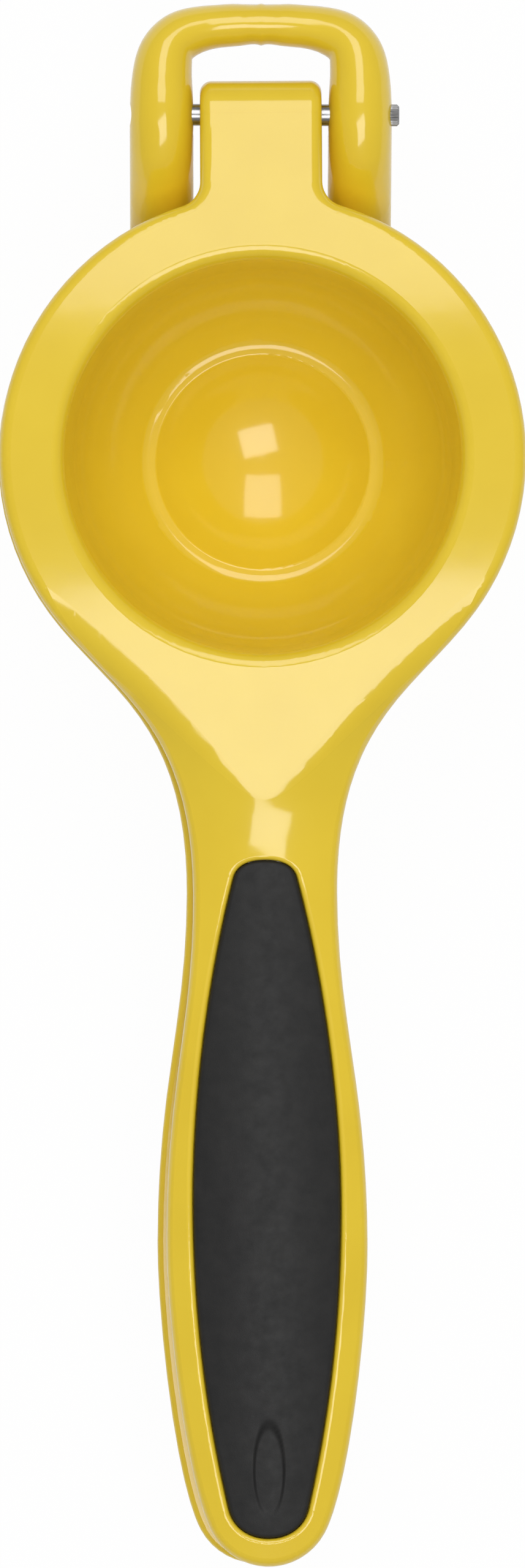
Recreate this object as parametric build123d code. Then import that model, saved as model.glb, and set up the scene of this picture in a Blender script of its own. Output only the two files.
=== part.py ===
"""Two-lever citrus squeezer, closed, in millimetres.

X runs along the hinge pin, Y from the handle ends to the hanging loop, and Z up.
The cup's axis is X = Y = 0 and its flat base lies on Z = 0.
"""

import os
from math import asin, cos, degrees, radians, sin, sqrt, tan

from build123d import *

# Plan of both levers
RIM_RADIUS = 36.2
RIM_LEAVE = 36.3  # degrees below the X axis where the neck leaves the round rim
NECK_HALF = 9.95
NECK_RUN = 24.0  # from the rim to the narrowest place of the neck
BELLY_HALF = 13.85
BELLY_RUN = 48.3  # from the neck to the widest place of the handle
TIP_RADIUS = 8.8
TIP_TURN = 28.9
END_RUN = 44.5  # from the widest place to the handle's end
NECK_REACH = 24.2
RIM_REACH = 13.1
WAIST_REACH = 18.3
BELLY_REACH = 22.7
FLANK_REACH = 10.6
TIP_REACH = 7.3

# Heights of the levers, measured from the plane between them
RIM_GAP = 0.8
ARCH_RADIUS = 300.0
FLANGE_DEPTH = 7.6
NECK_HEIGHT = 6.6
NECK_DIP = 5.2  # from the narrowest place of the neck to its lowest
NECK_RISE = 29.2  # radius of the sweep from the neck up to the bowl
BELLY_HEIGHT = 11.6
TIP_HEIGHT = 6.4
EDGE_ROUND = 1.6
INNER_ROUND = 0.8

# Crown across the handle, which meets the bowl's arched top in a soft vee
HANDLE_CROWN = 20.0
VEE_ROOM = 5.0  # the arched top ends this far short of the neck's lowest place
VEE_DROP = 0.604  # and this far above it
VEE_ROUND = 5.0
CROWN_STEP = 5.0
CROWN_MARGIN = 5.0

# Press bowl in the upper lever
PRESS_RIM = 8.7
PRESS_SINK = 6.0  # depth of the bowl's sphere centre below the top of the arch
PRESS_DRAFT = 8.0
LEDGE_RADIUS = 16.6
LEDGE_WIDTH = 1.6
LEDGE_BLEND = 2.0
LEDGE_ROUND = 0.5
NOSE_RADIUS = 20.0
PRESS_WALL = 2.5
LIP_ROUND = 1.8

# Cup in the lower lever
CUP_LEDGE = 2.0
CUP_WALL = 2.8
CUP_FLOOR = 3.0
NOSE_GAP = 4.9
DRAIN_DIAMETER = 3.6
DRAIN_RINGS = ((7.0, 6), (15.0, 12))  # ring radius and number of holes
CUP_ROOT_ROUND = 0.7

# Hinge
HINGE_RUN = 11.15  # from the rim to the pin
BARREL_RADIUS = 4.7
TONGUE_HALF = 8.4
TONGUE_ROUND = 3.5
PIN_DIAMETER = 3.0
PIN_PLAY = 0.09
PIN_FIT = 0.01
PIN_SHY = 0.3
PIN_STAND = 1.0
PIN_CHAMFER = 0.3
KNURL_LENGTH = 5.0
KNURL_DEPTH = 0.16
KNURL_COUNT = 20
PLAY_SHARE = 0.8  # part of the pin's play taken up by the lean of the upper lever

# Yoke of the lower lever, a bar bent into a closed loop
YOKE_GAP = 0.9
ARM_WIDTH = 8.8
ARM_HEIGHT = 9.4
BAR_WIDTH = 5.8
BAR_HEIGHT = 7.2
BAR_DROP = 2.1
LOOP_RUN = 15.55  # from the pin to the end of the loop
ROOT_SINK = 7.0
ROOT_DROP = 4.8
ROOT_HEIGHT = 6.4
ROOT_REACH = 6.0
PIN_REACH = 7.0
CORNER_REACH = 9.5
BAR_REACH = 14.6
CORNER_SHARE = 0.87  # share of the bend after which the bar has its full slimness
RISE_STEPS = 5
TURN_STEPS = 8

# Grip inserts
PAD_TOP_RUN = 4.7  # from the neck back to the pad's start
PAD_TOP_HALF = 4.43
PAD_SHOULDER_RUN = 2.5
PAD_BORDER = 3.63
PAD_WIDEST_RUN = 5.5
PAD_END_HALF = 5.54
PAD_HIP_RUN = 4.05
PAD_END_BORDER = 3.95
PAD_SPREAD = 0.268  # outward run of the pad's side for each unit along, at its shoulder
PAD_CLOSE = 0.229
PAD_TOP_REACH = 2.9
PAD_TOP_TURN = 1.3
PAD_SPREAD_REACH = 9.8
PAD_UPPER_REACH = 17.9
PAD_LOWER_REACH = 14.9
PAD_CLOSE_REACH = 13.5
PAD_END_TURN = 2.3
PAD_END_REACH = 2.9
PAD_DEPTH = 2.4
PAD_SINK = 0.15
PAD_CLEAR = 0.12
PAD_LIP = 0.6
SEAT_CLEAR = 0.03
CARRIER_THICK = 1.1
CARRIER_INSET = 1.4
PEG_DIAMETER = 3.4
PEG_LENGTH = 1.6
PEG_CLEAR = 0.03
PEG_END_GAP = 0.3
PEG_RUNS = (12.5, 46.5, 80.5)  # from the pad's start

# Coring on the inner face of each handle
CORE_DEPTH = 2.6
CORE_BORDER = 6.6
CORE_DRAFT = 8.0
CORE_TOP_BORDER = 14.8
CORE_END_BORDER = 13.0
CORE_ROUND = 1.5

# Places that follow from the sizes above
PRESS_RADIUS = RIM_RADIUS - PRESS_RIM
DRAFT_RUN = tan(radians(PRESS_DRAFT))
BALL_RADIUS = (PRESS_RADIUS - PRESS_SINK * DRAFT_RUN) * cos(radians(PRESS_DRAFT))
CUP_RADIUS = RIM_RADIUS - CUP_LEDGE - CUP_WALL
HINGE_AT = RIM_RADIUS + HINGE_RUN
LOOP_END = HINGE_AT + LOOP_RUN
NECK_AT = RIM_RADIUS + NECK_RUN
DIP_AT = NECK_AT - NECK_DIP
VEE_END = DIP_AT - VEE_ROOM
ARCH_TOP = NECK_HEIGHT + VEE_DROP + ARCH_RADIUS - sqrt(ARCH_RADIUS**2 - VEE_END**2)
BELLY_AT = NECK_AT + BELLY_RUN
HANDLE_END = BELLY_AT + END_RUN
PAD_START = NECK_AT - PAD_TOP_RUN
PAD_STOP = HANDLE_END - PAD_END_BORDER
PAD_SHOULDER_AT = PAD_START + PAD_SHOULDER_RUN
PAD_WIDEST_AT = BELLY_AT - PAD_WIDEST_RUN
PAD_HIP_AT = PAD_STOP - PAD_HIP_RUN
PEG_AT = [PAD_START + run for run in PEG_RUNS]
CORE_START = NECK_AT + CORE_TOP_BORDER
CORE_STOP = HANDLE_END - CORE_END_BORDER
LEDGE_DEPTH = PRESS_SINK + sqrt(BALL_RADIUS**2 - LEDGE_RADIUS**2)
NOSE_EDGE = LEDGE_RADIUS - LEDGE_WIDTH
NOSE_SINK = LEDGE_DEPTH - sqrt(NOSE_RADIUS**2 - NOSE_EDGE**2)
SPLIT = CUP_FLOOR + NOSE_GAP + NOSE_SINK + NOSE_RADIUS + PRESS_WALL - ARCH_TOP
ARCH_Z = SPLIT + ARCH_TOP
LOWER_FACE = SPLIT - RIM_GAP / 2
UPPER_FACE = SPLIT + RIM_GAP / 2
HINGE_Z = ARCH_Z - ARCH_RADIUS + sqrt((ARCH_RADIUS - BARREL_RADIUS) ** 2 - HINGE_AT**2)
ARM_X = TONGUE_HALF + YOKE_GAP + ARM_WIDTH / 2
YOKE_HALF = ARM_X + ARM_WIDTH / 2
PIN_RADIUS = PIN_DIAMETER / 2
REST_LEAN = degrees(asin(PLAY_SHARE * PIN_PLAY / TONGUE_HALF))
FLIP = Plane((0, 0, SPLIT), z_dir=(0, 0, 1))
TALL = 120.0


def handle_tip():
    centre = (0, TIP_RADIUS - HANDLE_END)
    return CenterArc(centre, TIP_RADIUS, TIP_TURN - 180, 180 - 2 * TIP_TURN)


def handle_side():
    """Right side of a lever from the round end of its handle to the round rim."""
    tip = handle_tip()
    belly = Vector(BELLY_HALF, -BELLY_AT)
    neck = Vector(NECK_HALF, -NECK_AT)
    leave = radians(RIM_LEAVE)
    rim = Vector(RIM_RADIUS * cos(leave), -RIM_RADIUS * sin(leave))
    rim_way = Vector(sin(leave), cos(leave))
    up = Vector(0, 1)
    flank = Bezier(tip @ 1, tip @ 1 + (tip % 1) * TIP_REACH, belly - up * FLANK_REACH, belly)
    waist = Bezier(belly, belly + up * BELLY_REACH, neck - up * WAIST_REACH, neck)
    throat = Bezier(neck, neck + up * NECK_REACH, rim - rim_way * RIM_REACH, rim)
    return [flank, waist, throat]


def both_sides(edges, across):
    """Face inside right-hand edges, their mirror image and the edges that join both sides."""
    return make_face(edges + [mirror(edge, about=Plane.YZ) for edge in edges] + across)


def upper_outline():
    """Plan of the upper lever: handle, round rim and hinge tongue."""
    round_x = TONGUE_HALF + TONGUE_ROUND
    round_y = sqrt((RIM_RADIUS + TONGUE_ROUND) ** 2 - round_x**2)
    share = RIM_RADIUS / (RIM_RADIUS + TONGUE_ROUND)
    shoulder = Vector(round_x * share, round_y * share)
    sides = handle_side()
    rim = ThreePointArc(sides[-1] @ 1, (RIM_RADIUS, 0), shoulder)
    corner = RadiusArc(shoulder, (TONGUE_HALF, round_y), TONGUE_ROUND)
    side = Line((TONGUE_HALF, round_y), (TONGUE_HALF, HINGE_AT))
    end = Line((TONGUE_HALF, HINGE_AT), (-TONGUE_HALF, HINGE_AT))
    return both_sides(sides + [rim, corner, side], [handle_tip(), end])


def lower_outline():
    """Plan of the lower lever: handle and round rim."""
    sides = handle_side()
    rim = CenterArc((0, 0), RIM_RADIUS, -RIM_LEAVE, 180 + 2 * RIM_LEAVE)
    return both_sides(sides, [handle_tip(), rim])


def pad_outline(inset):
    """Plan of the grip's pocket in a handle, or of what lies inside it by an inset."""
    crest = Vector(0, -PAD_START - inset)
    shoulder = Vector(PAD_TOP_HALF - inset, -PAD_SHOULDER_AT)
    widest = Vector(BELLY_HALF - PAD_BORDER - inset, -PAD_WIDEST_AT)
    hip = Vector(PAD_END_HALF - inset, -PAD_HIP_AT)
    end = Vector(0, inset - PAD_STOP)
    up = Vector(0, 1)
    out = Vector(1, 0)
    spread = Vector(PAD_SPREAD, -1)
    close = Vector(-PAD_CLOSE, -1)
    start = Bezier(crest, crest + out * PAD_TOP_REACH, shoulder - spread * PAD_TOP_TURN, shoulder)
    upper = Bezier(shoulder, shoulder + spread * PAD_SPREAD_REACH, widest + up * PAD_UPPER_REACH, widest)
    lower = Bezier(widest, widest - up * PAD_LOWER_REACH, hip - close * PAD_CLOSE_REACH, hip)
    finish = Bezier(hip, hip + close * PAD_END_TURN, end + out * PAD_END_REACH, end)
    return both_sides([start, upper, lower, finish], [])


def ease(start, end, share):
    return start + (end - start) * share**2 * (3 - 2 * share)


def ridge(y):
    """Height of a handle's middle line: sweep up to the bowl, dip at the neck, swell, tip."""
    if y > -DIP_AT:
        return NECK_HEIGHT + (y + DIP_AT) ** 2 / (2 * NECK_RISE)
    if y > -BELLY_AT:
        return ease(NECK_HEIGHT, BELLY_HEIGHT, (-y - DIP_AT) / (BELLY_AT - DIP_AT))
    share = (-y - BELLY_AT) / (HANDLE_END - BELLY_AT)
    return BELLY_HEIGHT - (BELLY_HEIGHT - TIP_HEIGHT) * share**2


def crown():
    """Solid under the crowned outer surface of a handle, up to the cup's axis."""
    across = round((RIM_RADIUS + CROWN_MARGIN) / CROWN_STEP)
    along = round((HANDLE_END + CROWN_MARGIN) / CROWN_STEP)
    rows = []
    for j in range(along + 1):
        y = (j - along) * CROWN_STEP
        row = []
        for i in range(-across, across + 1):
            x = i * CROWN_STEP
            drop = HANDLE_CROWN * (sqrt(1 + (x / HANDLE_CROWN) ** 2) - 1)
            row.append(Vector(x, y, SPLIT + ridge(y) - drop))
        rows.append(row)
    surface = Face.make_surface_from_array_of_points(rows, tol=0.005, min_deg=3, max_deg=5)
    return extrude(surface, TALL, dir=(0, 0, -1))


def over_arch():
    """Space over the arched top of the press bowl, down to the point of the vee."""
    start = degrees(asin(VEE_END / ARCH_RADIUS))
    end = degrees(asin((HINGE_AT + CROWN_MARGIN) / ARCH_RADIUS))
    top = CenterArc((0, ARCH_Z - ARCH_RADIUS), ARCH_RADIUS, 90 - end, start + end)
    high = ARCH_Z + TALL
    rest = Polyline(top @ 1, ((top @ 1).X, high), ((top @ 0).X, high), top @ 0)
    return extrude(Plane.YZ * make_face([top, rest]), TALL, both=True)


def over_flange():
    """Space over the flat outer face of the cup's flange, down to the point of the vee."""
    place = Pos(0, -VEE_END, SPLIT + FLANGE_DEPTH)
    return place * Box(TALL, TALL, TALL, align=(Align.CENTER, Align.MIN, Align.MIN))


def lowered(solid, depth):
    return Pos(0, 0, -depth) * solid


def handle_core():
    """Coring of a handle's inner face, with drafted walls."""
    plan = Rot(0, 0, 90) * SlotOverall(CORE_STOP - CORE_START, 2 * (BELLY_HALF - CORE_BORDER))
    core = extrude(plan, CORE_DEPTH, taper=CORE_DRAFT)
    core = fillet(core.faces().sort_by(Axis.Z)[-1].edges(), CORE_ROUND)
    return Pos(0, -(CORE_START + CORE_STOP) / 2, UPPER_FACE) * core


def pocket_floor(y):
    """Height of the grip pocket's floor on the middle line."""
    return SPLIT + ridge(-y) - PAD_DEPTH


def lever_blank(outline, over):
    """Lever plate with rounded edges, its grip pocket and its cored inner face."""
    top = crown()
    front = Pos(0, 0, SPLIT) * Box(TALL, TALL, TALL, align=(Align.CENTER, Align.MIN, Align.CENTER))
    plate = Pos(0, 0, UPPER_FACE) * extrude(outline, TALL, dir=(0, 0, 1)) & (top + front)
    plate = plate - over
    vee = [e for e in plate.edges() if abs((e @ 0.5).X) < 0.01 and -DIP_AT < (e @ 0.5).Y < 0]
    plate = fillet(vee, VEE_ROUND)
    walls = plate.faces().filter_by(lambda face: abs(face.normal_at().Z) < 0.01)
    rims = [e for e in walls.edges() if abs((e % 0.5).Z) < 0.7 and (e @ 0.5).Y < HINGE_AT - EDGE_ROUND]
    plate = fillet([e for e in rims if (e @ 0.5).Z > UPPER_FACE + EDGE_ROUND], EDGE_ROUND)
    inner = plate.faces().filter_by(Plane.XY).sort_by(Axis.Z)[0]
    plate = fillet([e for e in inner.edges() if (e @ 0.5).Y < HINGE_AT - EDGE_ROUND], INNER_ROUND)
    well = Pos(0, 0, SPLIT) * extrude(pad_outline(0), TALL, dir=(0, 0, 1))
    plate = plate - (well - lowered(top, PAD_DEPTH))
    outer = [f for f in plate.faces() if f.geom_type == GeomType.BSPLINE and f.inner_wires()]
    plate = fillet(outer[0].inner_wires()[0].edges(), PAD_LIP)
    for y in PEG_AT:
        hole = Cylinder(PEG_DIAMETER / 2 + PEG_CLEAR, 2 * (PEG_LENGTH + PEG_END_GAP))
        plate = plate - Pos(0, -y, pocket_floor(y)) * hole
    return plate - handle_core()


def press_bowl(wall, top):
    """Stepped bowl turned about the cup's axis, grown outwards by a wall, up to a height."""
    centre = ARCH_Z - PRESS_SINK
    nose = ARCH_Z - NOSE_SINK
    ledge = ARCH_Z - LEDGE_DEPTH - wall
    ball = BALL_RADIUS + wall
    tip = NOSE_RADIUS + wall
    outer_x = sqrt(ball**2 - (centre - ledge) ** 2)
    inner_x = sqrt(tip**2 - (nose - ledge) ** 2)
    turn = degrees(asin((centre - ledge) / ball))
    side = CenterArc((0, centre), ball, -turn, turn - PRESS_DRAFT)
    step = Line((outer_x, ledge), (inner_x, ledge))
    bottom = CenterArc((0, nose), tip, -90, degrees(asin(inner_x / tip)))
    mouth = (side @ 1).X + (top - (side @ 1).Y) * DRAFT_RUN
    rest = Polyline((0, nose - tip), (0, top), (mouth, top), side @ 1)
    face = make_face([side, step, bottom, rest])
    corners = face.vertices().filter_by(lambda v: abs(v.Y - ledge) < 0.01).sort_by(Axis.X)
    face = fillet(corners[0], LEDGE_ROUND)
    corners = face.vertices().filter_by(lambda v: abs(v.Y - ledge) < 0.01).sort_by(Axis.X)
    face = fillet(corners[-1], LEDGE_BLEND)
    return revolve(Plane.XZ * face, Axis.Z)


def upper_lever():
    """Casting with the press bowl, the hinge tongue and the upper handle."""
    lever = lever_blank(upper_outline(), over_arch())
    barrel = Rot(0, 90, 0) * Cylinder(BARREL_RADIUS, 2 * TONGUE_HALF)
    barrel = fillet(barrel.edges().filter_by(GeomType.CIRCLE), EDGE_ROUND)
    lever = lever + Pos(0, HINGE_AT, HINGE_Z) * barrel
    lever = lever + press_bowl(PRESS_WALL, UPPER_FACE + RIM_GAP)
    lever = lever - press_bowl(0, ARCH_Z + RIM_GAP)
    lip = []
    for edge in lever.edges():
        place = edge @ 0.3
        out = Vector(place.X, place.Y).length
        if place.Z > UPPER_FACE + RIM_GAP and abs(out - PRESS_RADIUS) < LIP_ROUND / 2:
            lip.append(edge)
    lever = fillet(lip, LIP_ROUND)
    bore = Rot(0, 90, 0) * Cylinder(PIN_RADIUS + PIN_PLAY, 4 * TONGUE_HALF)
    return lever - Pos(0, HINGE_AT, HINGE_Z) * bore


def yoke_section(path, share, width, height):
    """Oval section of the yoke's bar, square to its path."""
    way = path % share
    out = Vector(way.Y, -way.X, 0)
    return Plane(path @ share, x_dir=out, z_dir=way) * Ellipse(width / 2, height / 2)


def yoke():
    """Bar that rises from the rim, holds the pin in both arms and closes in a loop."""
    root = Vector(ARM_X, RIM_RADIUS - ROOT_SINK, LOWER_FACE - ROOT_DROP)
    pin = Vector(ARM_X, HINGE_AT, HINGE_Z)
    bar = Vector(0, LOOP_END - BAR_WIDTH / 2, HINGE_Z - BAR_DROP)
    along = Vector(0, 1, 0)
    rise = Bezier(root, root + along * ROOT_REACH, pin - along * PIN_REACH, pin)
    turn = Bezier(pin, pin + along * CORNER_REACH, bar + Vector(BAR_REACH, 0, 0), bar)
    sections = []
    for i in range(RISE_STEPS):
        share = i / RISE_STEPS
        sections.append(yoke_section(rise, share, ARM_WIDTH, ease(ROOT_HEIGHT, ARM_HEIGHT, share)))
    for i in range(TURN_STEPS + 1):
        share = i / TURN_STEPS
        width = ease(ARM_WIDTH, BAR_WIDTH, min(share / CORNER_SHARE, 1))
        sections.append(yoke_section(turn, share, width, ease(ARM_HEIGHT, BAR_HEIGHT, share)))
    half = loft(sections)
    return half + mirror(half, about=Plane.YZ)


def cup(radius, bottom):
    """Round bowl turned about the cup's axis, flat at its bottom and open at the rim's plane."""
    turn = degrees(asin((LOWER_FACE - bottom) / radius))
    side = CenterArc((0, LOWER_FACE), radius, -turn, turn)
    rest = Polyline(side @ 1, (0, LOWER_FACE), (0, bottom), side @ 0)
    return revolve(Plane.XZ * make_face([side, rest]), Axis.Z)


def lower_lever():
    """Casting with the cup, the hinge yoke and the lower handle."""
    lever = mirror(lever_blank(lower_outline(), over_flange()), about=FLIP)
    radius = CUP_RADIUS + CUP_WALL
    lever = lever + cup(radius, 0)
    seam = [e for e in lever.edges() if abs((e @ 0.2 - Vector(0, 0, LOWER_FACE)).length - radius) < 0.02]
    lever = fillet([e for e in seam if CUP_FLOOR < (e @ 0.2).Z < LOWER_FACE - INNER_ROUND], CUP_ROOT_ROUND)
    lever = lever + yoke()
    lever = lever - cup(CUP_RADIUS, CUP_FLOOR)
    for radius, count in DRAIN_RINGS:
        for place in PolarLocations(radius, count):
            lever = lever - place * Cylinder(DRAIN_DIAMETER / 2, CUP_RADIUS)
    bore = Rot(0, 90, 0) * Cylinder(PIN_RADIUS + PIN_FIT, 4 * YOKE_HALF)
    return lever - Pos(0, HINGE_AT, HINGE_Z) * bore


def hinge_pin():
    """Straight pin, flush at one end and knurled where it stands out at the other."""
    length = 2 * YOKE_HALF + PIN_STAND - PIN_SHY
    pin = Cylinder(PIN_RADIUS, length, align=(Align.CENTER, Align.CENTER, Align.MIN))
    pin = chamfer(pin.edges().filter_by(GeomType.CIRCLE), PIN_CHAMFER)
    groove = Rot(0, 0, 45) * Box(2 * KNURL_DEPTH, 2 * KNURL_DEPTH, 2 * KNURL_LENGTH)
    for place in PolarLocations(PIN_RADIUS, KNURL_COUNT):
        pin = pin - Pos(0, 0, length) * place * groove
    return Pos(PIN_SHY - YOKE_HALF, HINGE_AT, HINGE_Z) * Rot(0, 90, 0) * pin


def grip_carrier(top):
    """Stiff plate under a grip pad, pegged into the floor of its pocket."""
    plan = pad_outline(PAD_CLEAR + CARRIER_INSET)
    plate = Pos(0, 0, SPLIT) * extrude(plan, TALL, dir=(0, 0, 1))
    floor = PAD_DEPTH - SEAT_CLEAR
    plate = (plate & lowered(top, floor - CARRIER_THICK)) - lowered(top, floor)
    upright = (Align.CENTER, Align.CENTER, Align.MIN)
    peg = Cylinder(PEG_DIAMETER / 2, PEG_LENGTH + CARRIER_THICK / 2, align=upright)
    for y in PEG_AT:
        plate = plate + Pos(0, -y, pocket_floor(y) - PEG_LENGTH) * peg
    return plate


def grip_pad(top):
    """Soft pad that fills the pocket and wraps the carrier's edge."""
    pad = Pos(0, 0, SPLIT) * extrude(pad_outline(PAD_CLEAR), TALL, dir=(0, 0, 1))
    pad = (pad & lowered(top, PAD_SINK)) - lowered(top, PAD_DEPTH - SEAT_CLEAR)
    plan = pad_outline(PAD_CLEAR + CARRIER_INSET - SEAT_CLEAR)
    hollow = Pos(0, 0, SPLIT) * extrude(plan, TALL, dir=(0, 0, 1))
    return pad - (hollow & lowered(top, PAD_DEPTH - CARRIER_THICK - 2 * SEAT_CLEAR))


def leaned(piece):
    """Upper pieces rest turned about the hinge by part of the pin's play."""
    return Pos(0, HINGE_AT, 0) * Rot(0, 0, REST_LEAN) * Pos(0, -HINGE_AT, 0) * piece


def build():
    handle_top = crown()
    carrier = grip_carrier(handle_top)
    pad = grip_pad(handle_top)
    return {
        "upper_lever": leaned(upper_lever()),
        "upper_grip": leaned(pad),
        "upper_grip_carrier": leaned(carrier),
        "lower_lever": lower_lever(),
        "lower_grip": mirror(pad, about=FLIP),
        "lower_grip_carrier": mirror(carrier, about=FLIP),
        "hinge_pin": hinge_pin(),
    }


os.makedirs("parts", exist_ok=True)
for name, piece in build().items():
    export_step(piece, f"parts/{name}.step")
    print(name, len(piece.solids()), round(piece.volume), piece.is_valid)
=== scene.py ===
"""Looks of a two-lever citrus squeezer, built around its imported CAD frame, in metres."""

from math import asin, cos, pi, radians, sin, sqrt, tan

import bpy
from mathutils import Matrix, Vector


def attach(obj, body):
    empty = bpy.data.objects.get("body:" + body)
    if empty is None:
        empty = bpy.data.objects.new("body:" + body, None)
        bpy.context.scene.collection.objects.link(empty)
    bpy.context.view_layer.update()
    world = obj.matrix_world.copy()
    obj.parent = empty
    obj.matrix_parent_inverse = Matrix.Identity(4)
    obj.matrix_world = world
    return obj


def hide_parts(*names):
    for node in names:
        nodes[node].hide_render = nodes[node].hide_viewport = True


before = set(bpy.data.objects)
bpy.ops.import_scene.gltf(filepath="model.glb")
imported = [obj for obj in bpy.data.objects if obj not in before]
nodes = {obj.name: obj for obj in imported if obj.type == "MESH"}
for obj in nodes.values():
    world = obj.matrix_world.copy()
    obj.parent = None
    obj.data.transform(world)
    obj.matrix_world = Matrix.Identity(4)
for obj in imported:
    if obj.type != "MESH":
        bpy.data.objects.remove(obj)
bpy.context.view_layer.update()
MM = 0.001

# Handles, in millimetres, as in the CAD model
SPLIT = 32.29583  # height of the plane between the levers
HINGE_AT = 47.35
TONGUE_HALF = 8.4
PIN_PLAY = 0.09
PLAY_SHARE = 0.8  # part of the pin's play taken up by the lean of the upper lever
REST_LEAN = asin(PLAY_SHARE * PIN_PLAY / TONGUE_HALF)
DIP_AT = 55.0
NECK_HEIGHT = 6.6
NECK_RISE = 29.2  # radius at the bottom of the dip
BELLY_AT = 108.5
BELLY_HEIGHT = 11.6
HANDLE_END = 153.0
TIP_HEIGHT = 6.4
HANDLE_CROWN = 20.0

# Grip pockets and carriers, in millimetres, as in the CAD model
PAD_START = 55.5
PAD_STOP = 149.05
PAD_TOP_HALF = 4.43
PAD_SHOULDER_AT = 58.0
PAD_WIDEST_HALF = 10.22
PAD_WIDEST_AT = 103.0
PAD_END_HALF = 5.54
PAD_HIP_AT = 145.0
PAD_SPREAD = 0.268  # outward run of the pad's side for each unit along, at its shoulder
PAD_CLOSE = 0.229
PAD_TOP_REACH = 2.9
PAD_TOP_TURN = 1.3
PAD_SPREAD_REACH = 9.8
PAD_UPPER_REACH = 17.9
PAD_LOWER_REACH = 14.9
PAD_CLOSE_REACH = 13.5
PAD_END_TURN = 2.3
PAD_END_REACH = 2.9
PAD_CLEAR = 0.12
PAD_DEPTH = 2.4
SEAT_CLEAR = 0.03
CARRIER_INSET = 1.4
CARRIER_THICK = 1.1

# Moulded pads, in millimetres
PAD_SINK = 0.155
PAD_EDGE = 0.55
SPINE_START = 6.0  # from the pad's start to the start of its middle line
SPINE_STOP = 7.0
OVAL_AT = (0.1, -139.5)
OVAL_HALF = (2.25, 6.95)
OVAL_DEPTH = 0.48
OVAL_TILT = 0.7  # change of depth from the oval's middle to its ends
OVAL_WALL = 0.17  # share of the oval's half width that its sloping wall takes
WELD_WITHIN = 0.02

# Points along each curve of the pad's outline, and rings of each stretch of its mesh
CORNER_POINTS = 12
SIDE_POINTS = 64
BACK_RINGS = 6
EDGE_RINGS = 6
TOP_RINGS = 36

# Knurled end of the pin, in millimetres along it, and how much duller it is
KNURL_START = 17.7
KNURL_FADE = 0.6
KNURL_BLUR = 0.3

# Range that most values of a noise texture lie in
NOISE_RANGE = (0.3, 0.7)

# Stage and lights, in metres
FLOOR_HALF = 6.0
FLOOR_DROP = 0.0002
FLOOR_TONE = 0.9
FLOOR_SEEN = 0.97  # share of plain white in what the camera sees of the floor
FLOOR_MIRRORED = 0.42
PANEL_AWAY = 1.3
PANEL_WIDE = 0.66
PANEL_AIM = (0, -0.02, 0.035)
WALL_LIGHT = 0.36
CEILING_LIGHT = 0.43

# Photograph in pixels: its size, and the place of the cup's axis in it
PHOTO_WIDE = 857
PHOTO_TALL = 2560
AXIS_ACROSS = 422.5
AXIS_DOWN = 746.0

# Camera
CAMERA_HEIGHT = 1.38
CAMERA_ROLL = 0.17  # degrees
SENSOR = 36.0
VIEW_TALL = 216.0  # millimetres that the photograph's long side spans
VIEW_LEVEL = 0.0388  # height at which it spans them, in metres


def ease(start, end, share):
    """Smooth step from one value to another."""
    return start + (end - start) * share**2 * (3 - 2 * share)


def ridge(y):
    """Height of the handle's middle line above the plane between the levers."""
    if y > -DIP_AT:
        return NECK_HEIGHT + (y + DIP_AT) ** 2 / (2 * NECK_RISE)
    if y > -BELLY_AT:
        return ease(NECK_HEIGHT, BELLY_HEIGHT, (-y - DIP_AT) / (BELLY_AT - DIP_AT))
    share = (-y - BELLY_AT) / (HANDLE_END - BELLY_AT)
    return BELLY_HEIGHT - (BELLY_HEIGHT - TIP_HEIGHT) * share**2


def crown(x, y):
    """Height of the handle's rounded top above the plane between the levers."""
    return ridge(y) - HANDLE_CROWN * (sqrt(1 + (x / HANDLE_CROWN) ** 2) - 1)


def bezier(points, count):
    """Points along a cubic curve, without its last one."""
    a, b, c, d = points
    line = []
    for i in range(count):
        t = i / count
        s = 1 - t
        line.append(a * s**3 + b * (3 * s * s * t) + c * (3 * s * t * t) + d * t**3)
    return line


def pad_outline(inset):
    """Closed outline of the grip's pocket, or of what lies inside it by an inset."""
    crest = Vector((0, -PAD_START - inset))
    shoulder = Vector((PAD_TOP_HALF - inset, -PAD_SHOULDER_AT))
    widest = Vector((PAD_WIDEST_HALF - inset, -PAD_WIDEST_AT))
    hip = Vector((PAD_END_HALF - inset, -PAD_HIP_AT))
    end = Vector((0, inset - PAD_STOP))
    up = Vector((0, 1))
    out = Vector((1, 0))
    spread = Vector((PAD_SPREAD, -1))
    close = Vector((-PAD_CLOSE, -1))
    start = (crest, crest + out * PAD_TOP_REACH, shoulder - spread * PAD_TOP_TURN, shoulder)
    upper = (shoulder, shoulder + spread * PAD_SPREAD_REACH, widest + up * PAD_UPPER_REACH, widest)
    lower = (widest, widest - up * PAD_LOWER_REACH, hip - close * PAD_CLOSE_REACH, hip)
    finish = (hip, hip + close * PAD_END_TURN, end + out * PAD_END_REACH, end)
    right = bezier(start, CORNER_POINTS)
    right += bezier(upper, SIDE_POINTS)
    right += bezier(lower, SIDE_POINTS)
    right += bezier(finish, CORNER_POINTS)
    left = [Vector((-p.x, p.y)) for p in right[1:]]
    return right + [end] + left[::-1]


def drawn_in(outline, share):
    """Outline pulled towards the pad's middle line, which it reaches at share 0."""
    ring = []
    for p in outline:
        spine = min(max(p.y, SPINE_STOP - PAD_STOP), -PAD_START - SPINE_START)
        ring.append(Vector((p.x * share, spine + (p.y - spine) * share)))
    return ring


def dimple(x, y):
    """Depth of the plain oval recess near the pad's end, shallower towards that end."""
    across = (x - OVAL_AT[0]) / OVAL_HALF[0]
    along = (y - OVAL_AT[1]) / OVAL_HALF[1]
    share = min(max((1 - sqrt(across**2 + along**2)) / OVAL_WALL, 0), 1)
    return ease(0, OVAL_DEPTH * (1 + OVAL_TILT * along), share)


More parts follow.
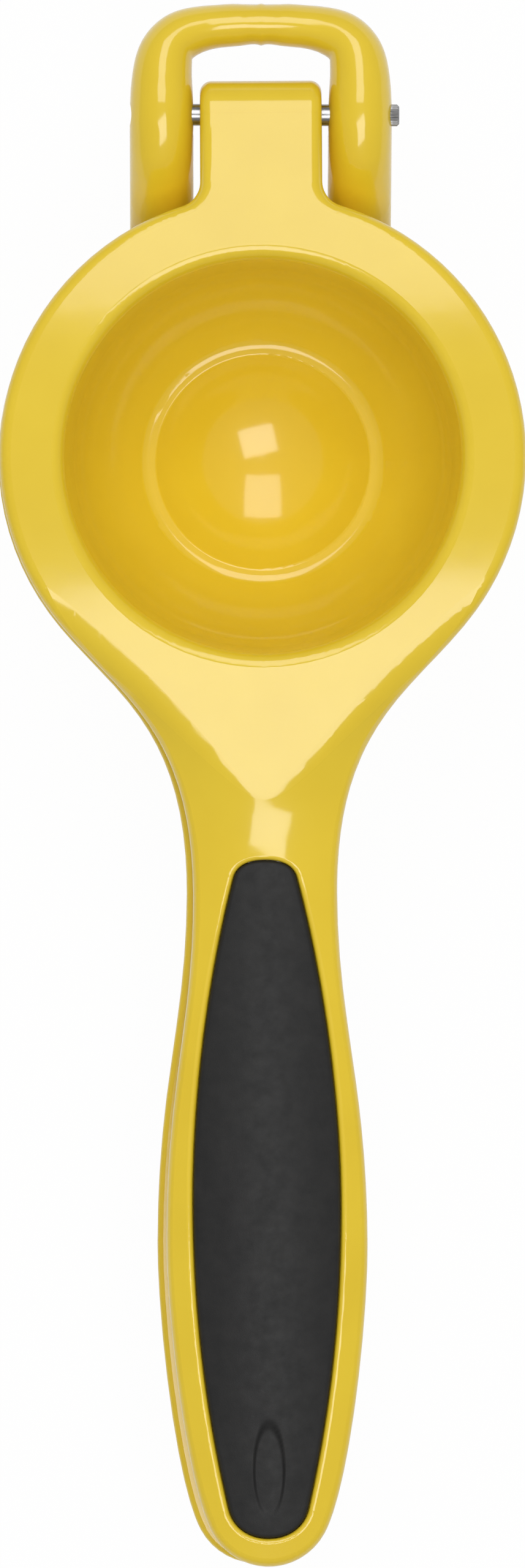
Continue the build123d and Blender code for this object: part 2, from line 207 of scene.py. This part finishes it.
def mesh_object(name, points, faces, material, body):
    mesh = bpy.data.meshes.new(name)
    mesh.from_pydata(points, [], faces)
    mesh.update()
    mesh.polygons.foreach_set("use_smooth", [True] * len(faces))
    made = bpy.data.objects.new(name, mesh)
    bpy.context.scene.collection.objects.link(made)
    mesh.materials.append(material)
    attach(made, body)
    return made


def pad_rings(marked):
    """Rings of the pad's mesh from its back to its top: outline, depth and whether the oval dents it."""
    outer = pad_outline(PAD_CLEAR)
    inner = pad_outline(PAD_CLEAR + CARRIER_INSET - SEAT_CLEAR)
    top = pad_outline(PAD_CLEAR + PAD_EDGE)
    floor_depth = PAD_DEPTH - SEAT_CLEAR
    back_depth = PAD_DEPTH - CARRIER_THICK - 2 * SEAT_CLEAR
    rings = []
    for i in range(BACK_RINGS):
        rings.append((drawn_in(inner, i / BACK_RINGS), back_depth, False))
    rings.append((inner, back_depth, False))
    rings.append((inner, floor_depth, False))
    rings.append((outer, floor_depth, False))
    for i in range(EDGE_RINGS + 1):
        turn = i / EDGE_RINGS * pi / 2
        ring = pad_outline(PAD_CLEAR + PAD_EDGE * (1 - cos(turn)))
        rings.append((ring, PAD_SINK + PAD_EDGE * (1 - sin(turn)), False))
    for i in range(1, TOP_RINGS + 1):
        rings.append((drawn_in(top, 1 - i / TOP_RINGS), PAD_SINK, marked))
    return rings


def grip(name, node, body, place, marked, material):
    """Moulded pad with rolled edges that wraps the carrier under it."""
    rings = pad_rings(marked)
    count = len(rings[0][0])
    points = []
    for ring, depth, dented in rings:
        for p in ring:
            dip = dimple(p.x, p.y) if dented else 0
            points.append(place(p.x, p.y, crown(p.x, p.y) - depth - dip))
    faces = []
    for r in range(len(rings) - 1):
        for i in range(count):
            j = (i + 1) % count
            faces.append((r * count + i, (r + 1) * count + i, (r + 1) * count + j, r * count + j))
    made = mesh_object(name, points, faces, material, body)
    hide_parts(node)
    weld = made.modifiers.new("weld", "WELD")
    weld.merge_threshold = WELD_WITHIN * MM


def upper_place(x, y, z):
    """Place on the upper lever, turned by its lean about the hinge."""
    arm = y - HINGE_AT
    turned_x = x * cos(REST_LEAN) - arm * sin(REST_LEAN)
    turned_y = HINGE_AT + x * sin(REST_LEAN) + arm * cos(REST_LEAN)
    return Vector((turned_x, turned_y, SPLIT + z)) * MM


def lower_place(x, y, z):
    """Place on the lower lever, which is turned over."""
    return Vector((-x, y, SPLIT - z)) * MM


def empty_material(name):
    material = bpy.data.materials.new(name)
    material.use_nodes = True
    material.node_tree.nodes.clear()
    return material, material.node_tree


def new_material(name):
    material, tree = empty_material(name)
    out = tree.nodes.new("ShaderNodeOutputMaterial")
    shader = tree.nodes.new("ShaderNodeBsdfPrincipled")
    tree.links.new(shader.outputs["BSDF"], out.inputs["Surface"])
    return material, tree, shader


def object_place(tree):
    return tree.nodes.new("ShaderNodeTexCoord").outputs["Object"]


def noise(tree, place, scale, detail, roughness=0.5):
    made = tree.nodes.new("ShaderNodeTexNoise")
    made.inputs["Scale"].default_value = scale
    made.inputs["Detail"].default_value = detail
    made.inputs["Roughness"].default_value = roughness
    tree.links.new(place, made.inputs["Vector"])
    return made.outputs["Fac"]


def tinted(tree, value, low, high):
    """Colour that goes from one to another over a noise's usual range."""
    made = tree.nodes.new("ShaderNodeValToRGB")
    tree.links.new(value, made.inputs["Fac"])
    for element, position, colour in zip(made.color_ramp.elements, NOISE_RANGE, (low, high)):
        element.position = position
        element.color = (*colour, 1)
    return made.outputs["Color"]


def between(tree, value, low, high):
    """Number that goes from low to high over a noise's usual range."""
    made = tree.nodes.new("ShaderNodeMapRange")
    made.inputs["From Min"].default_value = NOISE_RANGE[0]
    made.inputs["From Max"].default_value = NOISE_RANGE[1]
    made.inputs["To Min"].default_value = low
    made.inputs["To Max"].default_value = high
    tree.links.new(value, made.inputs["Value"])
    return made.outputs["Result"]


def bump(tree, value, strength, distance):
    made = tree.nodes.new("ShaderNodeBump")
    made.inputs["Strength"].default_value = strength
    made.inputs["Distance"].default_value = distance
    tree.links.new(value, made.inputs["Height"])
    return made.outputs["Normal"]


def enamel():
    """Glossy stoved enamel: even yellow with faint cloudiness and a slight ripple."""
    material, tree, shader = new_material("yellow_enamel")
    place = object_place(tree)
    cloud = noise(tree, place, scale=90, detail=3)
    tint = tinted(tree, cloud, low=(0.805, 0.565, 0.024), high=(0.835, 0.595, 0.028))
    gloss = between(tree, noise(tree, place, scale=240, detail=2), low=0.30, high=0.36)
    ripple = bump(tree, noise(tree, place, scale=320, detail=1.5), strength=0.022, distance=0.0004)
    tree.links.new(tint, shader.inputs["Base Color"])
    tree.links.new(gloss, shader.inputs["Roughness"])
    tree.links.new(ripple, shader.inputs["Normal"])
    tree.links.new(ripple, shader.inputs["Coat Normal"])
    shader.inputs["IOR"].default_value = 1.45
    shader.inputs["Specular IOR Level"].default_value = 0.15
    shader.inputs["Coat Weight"].default_value = 1.0
    shader.inputs["Coat Roughness"].default_value = 0.10
    shader.inputs["Coat IOR"].default_value = 1.52
    return material


def rubber():
    """Matte moulded rubber: dark grey, faintly mottled, with a fine spark-eroded grain."""
    material, tree, shader = new_material("black_rubber")
    place = object_place(tree)
    mottle = noise(tree, place, scale=330, detail=5, roughness=0.6)
    tint = tinted(tree, mottle, low=(0.012, 0.012, 0.012), high=(0.019, 0.0185, 0.018))
    gloss = between(tree, noise(tree, place, scale=700, detail=3), low=0.52, high=0.64)
    grain = bump(tree, noise(tree, place, scale=5200, detail=2), strength=0.18, distance=0.0001)
    tree.links.new(tint, shader.inputs["Base Color"])
    tree.links.new(gloss, shader.inputs["Roughness"])
    tree.links.new(grain, shader.inputs["Normal"])
    shader.inputs["IOR"].default_value = 1.45
    shader.inputs["Specular IOR Level"].default_value = 0.38
    return material


def knurl_share(tree, place):
    """Number along the pin that is 0 on its plain length and 1 on its knurled end."""
    along = tree.nodes.new("ShaderNodeSeparateXYZ")
    tree.links.new(place, along.inputs["Vector"])
    made = tree.nodes.new("ShaderNodeMapRange")
    made.inputs["From Min"].default_value = KNURL_START * MM
    made.inputs["From Max"].default_value = (KNURL_START + KNURL_FADE) * MM
    tree.links.new(along.outputs["X"], made.inputs["Value"])
    return made.outputs["Result"]


def steel():
    """Drawn stainless pin with fine marks along it and a dull knurled end."""
    material, tree, shader = new_material("steel")
    place = object_place(tree)
    stretch = tree.nodes.new("ShaderNodeMapping")
    stretch.inputs["Scale"].default_value = (0.15, 1.0, 1.0)
    tree.links.new(place, stretch.inputs["Vector"])
    marks = noise(tree, stretch.outputs["Vector"], scale=3000, detail=3)
    tint = tinted(tree, marks, low=(0.26, 0.26, 0.265), high=(0.42, 0.42, 0.425))
    dulled = tree.nodes.new("ShaderNodeMath")
    dulled.operation = "MULTIPLY_ADD"
    dulled.inputs[1].default_value = KNURL_BLUR
    tree.links.new(knurl_share(tree, place), dulled.inputs[0])
    tree.links.new(between(tree, marks, low=0.20, high=0.34), dulled.inputs[2])
    tree.links.new(tint, shader.inputs["Base Color"])
    tree.links.new(dulled.outputs["Value"], shader.inputs["Roughness"])
    shader.inputs["Metallic"].default_value = 1.0
    return material


def plastic():
    """Dull moulded carrier under the pads."""
    material, tree, shader = new_material("black_plastic")
    place = object_place(tree)
    mottle = noise(tree, place, scale=400, detail=3)
    tint = tinted(tree, mottle, low=(0.030, 0.030, 0.031), high=(0.044, 0.044, 0.045))
    gloss = between(tree, noise(tree, place, scale=900, detail=3), low=0.45, high=0.6)
    tree.links.new(tint, shader.inputs["Base Color"])
    tree.links.new(gloss, shader.inputs["Roughness"])
    return material


def scaled(tree, value, share):
    made = tree.nodes.new("ShaderNodeMath")
    made.operation = "MULTIPLY"
    made.inputs[1].default_value = share
    tree.links.new(value, made.inputs[0])
    return made.outputs["Value"]


def larger(tree, first, second):
    made = tree.nodes.new("ShaderNodeMath")
    made.operation = "MAXIMUM"
    tree.links.new(first, made.inputs[0])
    tree.links.new(second, made.inputs[1])
    return made.outputs["Value"]


def white_stage():
    """Pale surface that shows as white to the camera and in reflections, with a soft shadow."""
    material, tree = empty_material("floor")
    out = tree.nodes.new("ShaderNodeOutputMaterial")
    diffuse = tree.nodes.new("ShaderNodeBsdfDiffuse")
    diffuse.inputs["Color"].default_value = (FLOOR_TONE, FLOOR_TONE, FLOOR_TONE, 1)
    glow = tree.nodes.new("ShaderNodeEmission")
    glow.inputs["Color"].default_value = (1, 1, 1, 1)
    path = tree.nodes.new("ShaderNodeLightPath")
    seen = scaled(tree, path.outputs["Is Camera Ray"], FLOOR_SEEN)
    bounced = larger(tree, path.outputs["Is Glossy Ray"], path.outputs["Is Transmission Ray"])
    white_share = larger(tree, seen, scaled(tree, bounced, FLOOR_MIRRORED))
    mix = tree.nodes.new("ShaderNodeMixShader")
    tree.links.new(white_share, mix.inputs["Fac"])
    tree.links.new(diffuse.outputs["BSDF"], mix.inputs[1])
    tree.links.new(glow.outputs["Emission"], mix.inputs[2])
    tree.links.new(mix.outputs["Shader"], out.inputs["Surface"])
    return material


def floor():
    corners = [
        (-FLOOR_HALF, -FLOOR_HALF, 0),
        (FLOOR_HALF, -FLOOR_HALF, 0),
        (FLOOR_HALF, FLOOR_HALF, 0),
        (-FLOOR_HALF, FLOOR_HALF, 0),
    ]
    mesh = bpy.data.meshes.new("floor")
    mesh.from_pydata(corners, [], [(0, 1, 2, 3)])
    mesh.materials.append(white_stage())
    made = bpy.data.objects.new("floor", mesh)
    made.location.z = -FLOOR_DROP
    bpy.context.scene.collection.objects.link(made)


def panel(name, start, end, turn, power):
    """Soft light panel between two angles that lean from the vertical towards +Y, in degrees and watts."""
    lean = radians((start + end) / 2)
    half = radians((end - start) / 2)
    lamp = bpy.data.lights.new(name, "AREA")
    lamp.shape = "RECTANGLE"
    lamp.size = PANEL_WIDE
    lamp.size_y = 2 * PANEL_AWAY * tan(abs(half))
    lamp.energy = power
    made = bpy.data.objects.new(name, lamp)
    out = Vector((sin(radians(turn)), sin(lean), cos(lean))).normalized()
    made.location = Vector(PANEL_AIM) + out * PANEL_AWAY
    made.rotation_euler = out.to_track_quat("Z", "Y").to_euler()
    bpy.context.scene.collection.objects.link(made)


def surroundings():
    """Pale room, a little brighter overhead than at its walls."""
    world = bpy.data.worlds.new("surroundings")
    world.use_nodes = True
    tree = world.node_tree
    back = tree.nodes["Background"]
    back.inputs["Color"].default_value = (1, 1, 1, 1)
    place = tree.nodes.new("ShaderNodeTexCoord")
    split = tree.nodes.new("ShaderNodeSeparateXYZ")
    tree.links.new(place.outputs["Generated"], split.inputs["Vector"])
    level = tree.nodes.new("ShaderNodeMapRange")
    level.inputs["To Min"].default_value = WALL_LIGHT
    level.inputs["To Max"].default_value = CEILING_LIGHT
    tree.links.new(split.outputs["Z"], level.inputs["Value"])
    tree.links.new(level.outputs["Result"], back.inputs["Strength"])
    bpy.context.scene.world = world


def lights():
    panel("panel_far", start=12, end=48, turn=0, power=5.9)
    panel("panel_near", start=-4.5, end=-28, turn=4, power=5.2)
    surroundings()


def camera():
    """Straight down on the closed tool, at the photograph's frame."""
    pixel = VIEW_TALL / PHOTO_TALL * MM
    data = bpy.data.cameras.new("camera")
    data.sensor_width = SENSOR
    data.lens = SENSOR * (CAMERA_HEIGHT - VIEW_LEVEL) / (VIEW_TALL * MM)
    data.clip_start = 0.01
    data.clip_end = 50
    made = bpy.data.objects.new("camera", data)
    x = (PHOTO_WIDE / 2 - AXIS_ACROSS) * pixel
    y = (AXIS_DOWN - PHOTO_TALL / 2) * pixel
    place = Matrix.Translation((x, y, CAMERA_HEIGHT))
    made.matrix_world = place @ Matrix.Rotation(radians(CAMERA_ROLL), 4, "Z")
    bpy.context.scene.collection.objects.link(made)
    bpy.context.scene.camera = made


yellow = enamel()
black = rubber()
bare = steel()
carrier = plastic()
for name, material in (
    ("upper_lever", yellow),
    ("lower_lever", yellow),
    ("hinge_pin", bare),
    ("upper_grip_carrier", carrier),
    ("lower_grip_carrier", carrier),
):
    mesh = nodes[name].data
    mesh.materials.clear()
    mesh.materials.append(material)

grip("upper_pad", "upper_grip", "upper", upper_place, True, black)
grip("lower_pad", "lower_grip", "lower", lower_place, False, black)

floor()
lights()
camera()
bpy.context.scene.view_settings.view_transform = "Standard"
